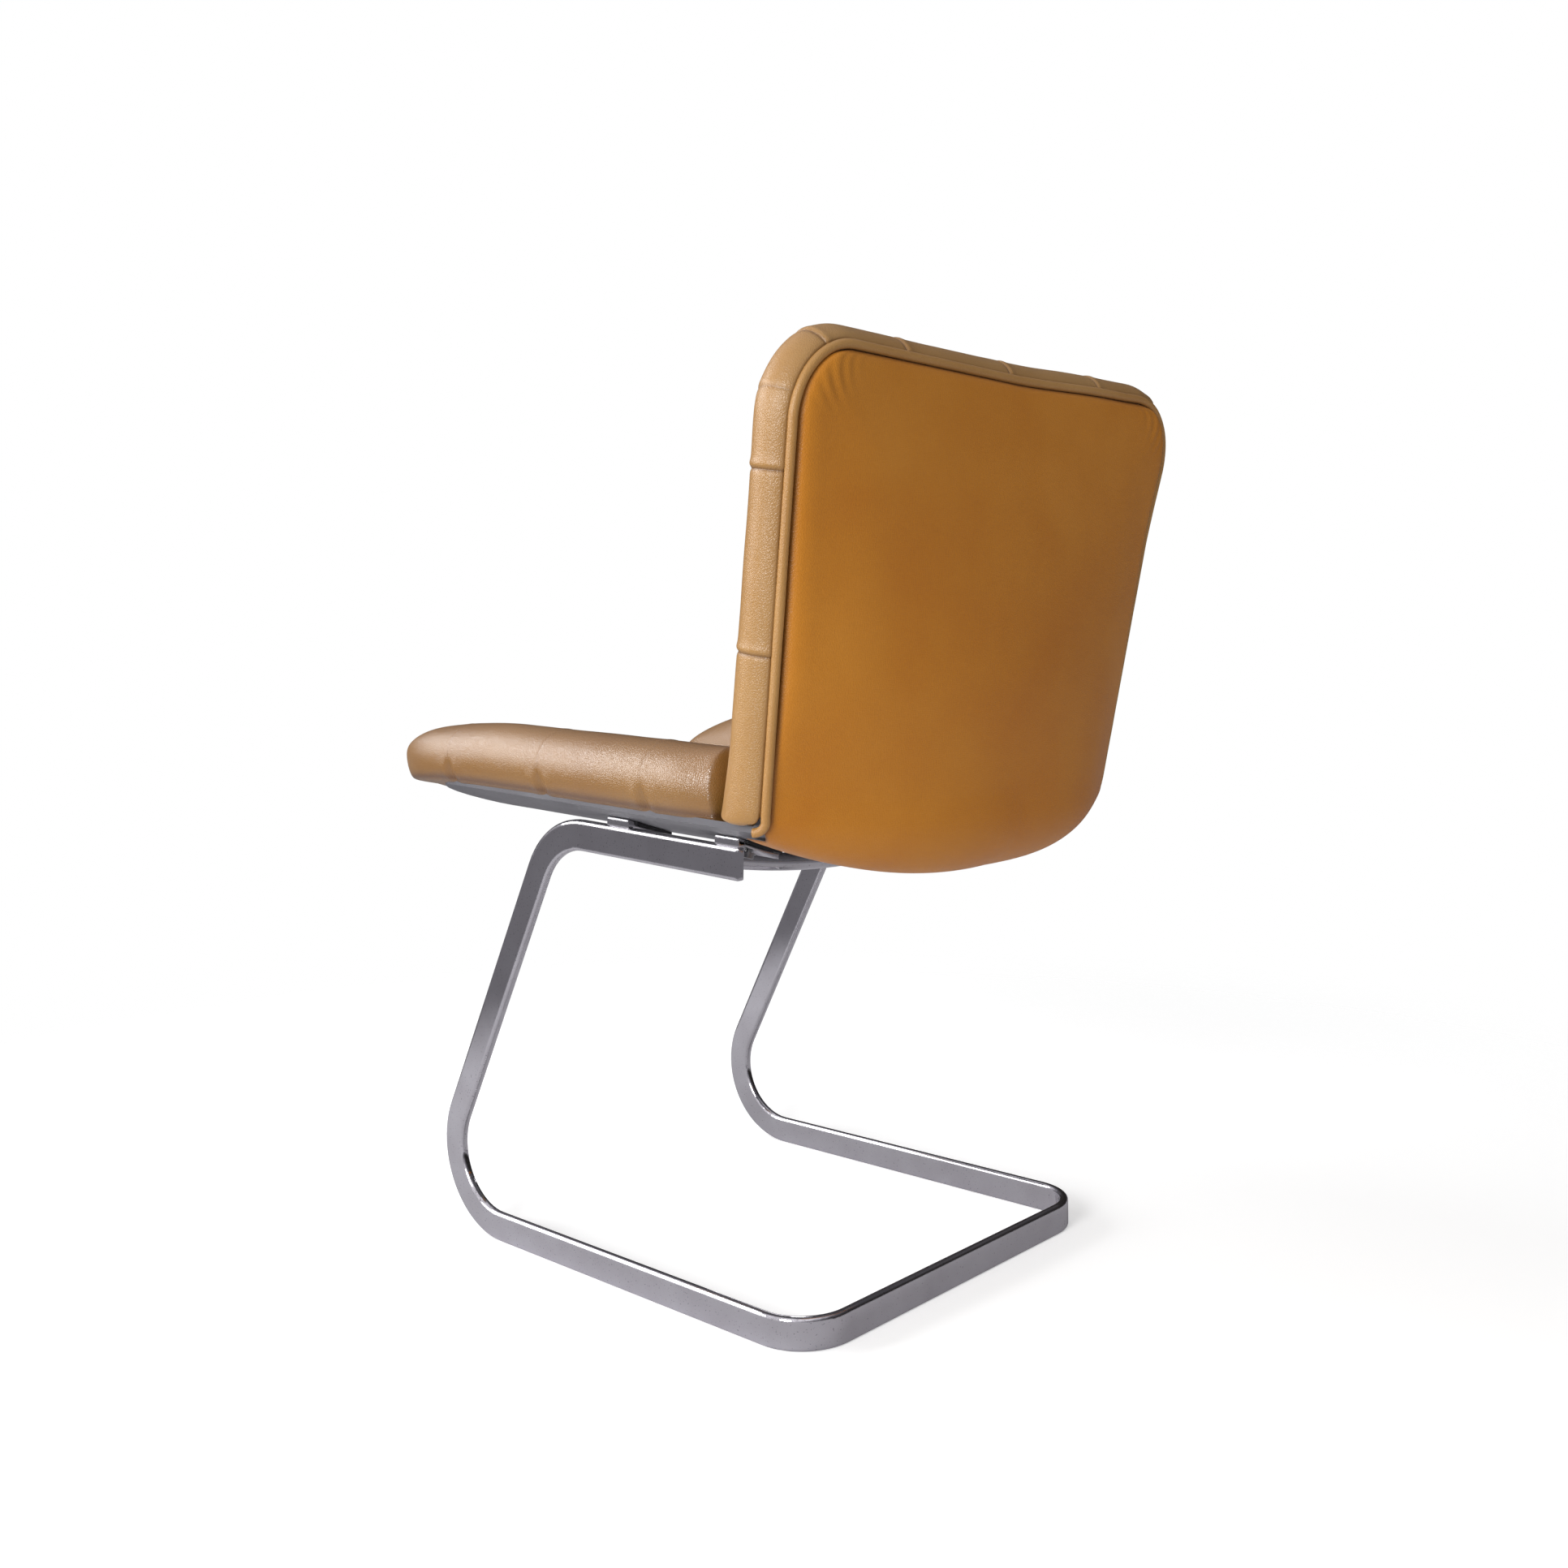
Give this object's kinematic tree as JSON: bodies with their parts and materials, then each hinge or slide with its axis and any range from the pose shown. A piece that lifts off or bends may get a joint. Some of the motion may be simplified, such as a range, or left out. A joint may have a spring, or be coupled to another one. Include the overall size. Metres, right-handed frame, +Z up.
{
  "type": "cantilever lounge chair",
  "caption": "Cantilever lounge chair: bent flat steel bar frame, dished moulded shell, patch-sewn leather seat and back.",
  "frame": {"origin": "centre of the overall box on the floor", "axes": "+Z up, the sitter faces -Y, +X is the sitter's left"},
  "size_m": [0.4902, 0.5544, 0.741],
  "materials": {
    "chrome": "polished chromium plate",
    "zinc": "zinc plated",
    "rubber": "matt",
    "brass": "turned",
    "shell": "satin light grey",
    "foam": "cut polyurethane foam",
    "felt": "needled felt",
    "leather": "semi-aniline, fine grain",
    "rear_leather": "semi-aniline, smooth"
  },
  "bodies": {
    "root": {"frame_bar": "chrome", "cross_bar": "chrome", "shell_screws": "zinc", "shell_washers": "zinc", "shell_inserts": "brass", "seat_shell": "shell", "seat_foam": "foam", "back_foam": "foam", "rear_felt": "felt", "seat_cover": "leather", "back_cover": "leather", "rear_panel": "rear_leather", "back_welt": "rear_leather", "front_left_bracket": "chrome", "front_left_pad": "rubber", "front_right_bracket": "chrome", "front_right_pad": "rubber", "rear_left_bracket": "chrome", "rear_left_pad": "rubber", "rear_right_bracket": "chrome", "rear_right_pad": "rubber"}
  },
  "joints": []
}
